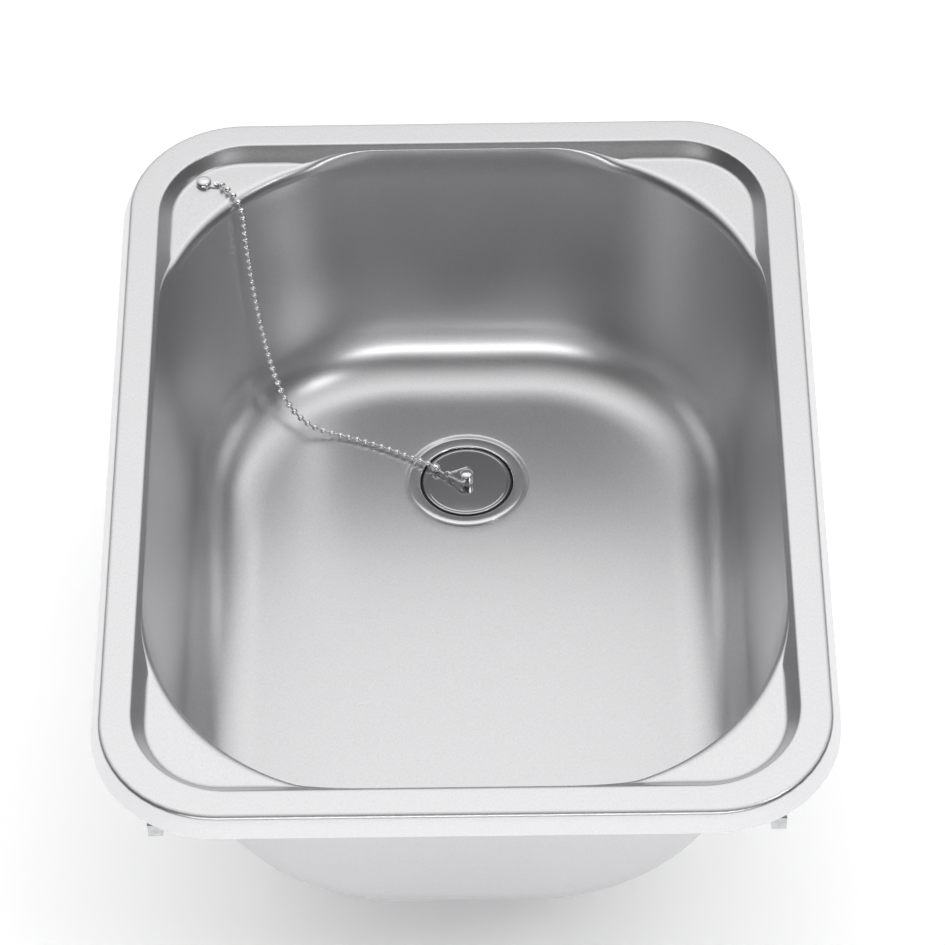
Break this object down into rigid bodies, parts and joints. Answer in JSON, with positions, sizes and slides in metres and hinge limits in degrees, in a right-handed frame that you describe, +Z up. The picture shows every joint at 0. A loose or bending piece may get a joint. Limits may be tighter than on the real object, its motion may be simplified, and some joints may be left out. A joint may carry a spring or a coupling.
{
  "type": "inset kitchen sink",
  "caption": "Inset steel kitchen sink: a deep rounded bowl with a stepped rim, waste and plug on a ball chain, fixed under the worktop by turning clips.",
  "frame": {"origin": "centre of the worktop cut-out, on the worktop's top face that the rim seal rests on", "axes": "+Z up, +Y towards the wall at the back, where the waste and the chain stay are, +X to the right"},
  "size_m": [0.4, 0.51, 0.235],
  "materials": {
    "pressed_steel": "satin",
    "bright_steel": "polished",
    "chain_metal": "polished",
    "zinc": "zinc plated",
    "black_rubber": "matt",
    "white_plastic": "moulded",
    "foam": "foam",
    "pad": "damping sheet"
  },
  "bodies": {
    "sink": {"sink_bowl": "pressed_steel", "rim_seal": "foam", "sound_pad": "pad", "waste_flange": "bright_steel", "waste_seal": "black_rubber", "waste_body": "white_plastic", "waste_screw": "bright_steel", "ball_chain": "chain_metal", "stay_bolt": "bright_steel", "stay_eye": "bright_steel", "stay_coupling": "chain_metal", "stay_nut": "zinc", "clip_lug_front_left": "zinc", "clip_lug_front_right": "zinc", "clip_lug_back_left": "zinc", "clip_lug_back_right": "zinc"},
    "plug": {"plug_cap": "bright_steel", "plug_rubber": "black_rubber", "plug_post": "bright_steel", "plug_nut": "zinc", "ball_chain_end": "chain_metal"},
    "link": {"plug_link": "bright_steel", "plug_coupling": "chain_metal"},
    "screw_front_left": {"clip_screw_front_left": "zinc"},
    "claw_front_left": {"clip_claw_front_left": "zinc"},
    "screw_front_right": {"clip_screw_front_right": "zinc"},
    "claw_front_right": {"clip_claw_front_right": "zinc"},
    "screw_back_left": {"clip_screw_back_left": "zinc"},
    "claw_back_left": {"clip_claw_back_left": "zinc"},
    "screw_back_right": {"clip_screw_back_right": "zinc"},
    "claw_back_right": {"clip_claw_back_right": "zinc"}
  },
  "joints": [
    {"name": "plug_lift", "type": "slide", "parent": "sink", "child": "plug", "axis": [0, 0.0436, 0.999], "range_m": [0, 0.08]},
    {"name": "link_swing", "type": "hinge", "parent": "plug", "child": "link", "pos_m": [0, 0.11422, -0.15401], "axis": [0.225, 0.9734, -0.0425], "range_deg": [0, 90]},
    {"name": "clip_tighten_front_left", "type": "slide", "parent": "sink", "child": "screw_front_left", "axis": [0, 0, 1], "range_m": [0, 0.018]},
    {"name": "claw_turn_front_left", "type": "hinge", "parent": "screw_front_left", "child": "claw_front_left", "pos_m": [-0.1675, -0.184, -0.05], "axis": [0, 0, -1], "range_deg": [0, 90]},
    {"name": "clip_tighten_front_right", "type": "slide", "parent": "sink", "child": "screw_front_right", "axis": [0, 0, 1], "range_m": [0, 0.018]},
    {"name": "claw_turn_front_right", "type": "hinge", "parent": "screw_front_right", "child": "claw_front_right", "pos_m": [0.1675, -0.184, -0.05], "axis": [0, 0, 1], "range_deg": [0, 90]},
    {"name": "clip_tighten_back_left", "type": "slide", "parent": "sink", "child": "screw_back_left", "axis": [0, 0, 1], "range_m": [0, 0.018]},
    {"name": "claw_turn_back_left", "type": "hinge", "parent": "screw_back_left", "child": "claw_back_left", "pos_m": [-0.1675, 0.184, -0.05], "axis": [0, 0, 1], "range_deg": [0, 90]},
    {"name": "clip_tighten_back_right", "type": "slide", "parent": "sink", "child": "screw_back_right", "axis": [0, 0, 1], "range_m": [0, 0.018]},
    {"name": "claw_turn_back_right", "type": "hinge", "parent": "screw_back_right", "child": "claw_back_right", "pos_m": [0.1675, 0.184, -0.05], "axis": [0, 0, -1], "range_deg": [0, 90]}
  ]
}
